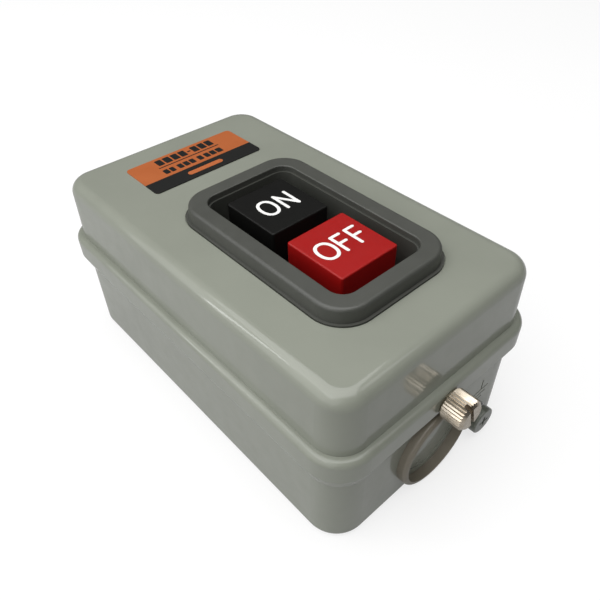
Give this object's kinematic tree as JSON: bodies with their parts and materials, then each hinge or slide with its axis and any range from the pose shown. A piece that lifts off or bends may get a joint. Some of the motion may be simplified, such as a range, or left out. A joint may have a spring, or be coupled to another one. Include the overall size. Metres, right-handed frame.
{
  "type": "push-button motor starter",
  "caption": "Surface-mounted metal box push-button motor starter with a lift-off cover, raised bezel, black ON and red OFF buttons, knurled cover screw and latched three-pole contacts.",
  "frame": {"origin": "centre of the flat back face that stands on the panel", "axes": "+Z out of the panel through the cover and buttons, +Y along the box towards the nameplate end, -Y towards the thumb screw end, +X across the box"},
  "size_m": [0.086, 0.152, 0.0673],
  "materials": {
    "enamel": "gloss grey-green enamel",
    "gasket_rubber": "matt",
    "plated_steel": "zinc plated",
    "spring_steel": "bright wire",
    "nickel": "bright nickel plate",
    "painted_screw": "painted over",
    "bezel_plastic": "satin dark grey",
    "label_foil": "printed foil",
    "bush_plastic": "dark grey brown",
    "black_button": "semi gloss",
    "red_button": "semi gloss",
    "phenolic": "moulded phenolic",
    "black_moulding": "satin",
    "silver": "silver alloy",
    "brass": "rolled strip",
    "lever_plastic": "nylon"
  },
  "bodies": {
    "box": {"base_box": "enamel", "block_screws": "plated_steel", "cover_gasket": "gasket_rubber", "earth_screw": "painted_screw", "earth_washers": "plated_steel", "entry_bush_front": "bush_plastic", "entry_bush_rear": "bush_plastic", "entry_plug_front": "enamel", "entry_plug_rear": "enamel", "fixed_contacts": "silver", "hood_screws": "plated_steel", "latch_pin": "plated_steel", "latch_spring": "spring_steel", "line_terminal_1": "brass", "line_terminal_2": "brass", "line_terminal_3": "brass", "load_terminal_1": "brass", "load_terminal_2": "brass", "load_terminal_3": "brass", "mechanism_hood": "black_moulding", "off_return_spring": "spring_steel", "on_return_spring": "spring_steel", "switch_block": "phenolic", "terminal_clamps": "plated_steel", "terminal_screws": "plated_steel", "thumb_screw_nut": "plated_steel"},
    "cover": {"cover_shell": "enamel", "cover_lock_fork": "plated_steel", "bezel_frame": "bezel_plastic", "label_plate": "label_foil"},
    "on_press": {"on_button": "black_button", "contact_carrier": "black_moulding"},
    "contacts": {"moving_contact_1": "brass", "moving_contact_2": "brass", "moving_contact_3": "brass", "contact_spring_1": "spring_steel", "contact_spring_2": "spring_steel", "contact_spring_3": "spring_steel"},
    "off_press": {"off_button": "red_button"},
    "lever": {"latch_lever": "lever_plastic"},
    "cover_screw": {"thumb_screw": "nickel"}
  },
  "joints": [
    {"name": "cover_lift", "type": "slide", "parent": "box", "child": "cover", "axis": [0, 0, 1], "range_m": [0, 0.08]},
    {"name": "on_button_press", "type": "slide", "parent": "box", "child": "on_press", "axis": [0, 0, -1], "range_m": [0, 0.004], "stiffness_N_per_m": 600, "springref_m": -0.006, "deforming": ["on_return_spring"]},
    {"name": "contacts_close", "type": "slide", "parent": "box", "child": "contacts", "axis": [0, 0, -1], "range_m": [0, 0.003], "deforming": ["contact_spring_1", "contact_spring_2", "contact_spring_3"]},
    {"name": "off_button_press", "type": "slide", "parent": "box", "child": "off_press", "axis": [0, 0, -1], "range_m": [0, 0.004], "stiffness_N_per_m": 600, "springref_m": -0.006, "deforming": ["off_return_spring"]},
    {"name": "latch_tilt", "type": "hinge", "parent": "box", "child": "lever", "pos_m": [0, -0.016, 0.024], "axis": [1, 0, 0], "range_deg": [0, 22]},
    {"name": "thumb_screw_turn", "type": "hinge", "parent": "box", "child": "cover_screw", "pos_m": [0, -0.0716, 0.0361], "axis": [0, -1, 0], "continuous": true}
  ],
  "couplings": [
    {"joint": "contacts_close", "follows": "on_button_press", "ratio": 0.74},
    {"joint": "latch_tilt", "follows": "off_button_press", "rad_per_m": 95}
  ]
}
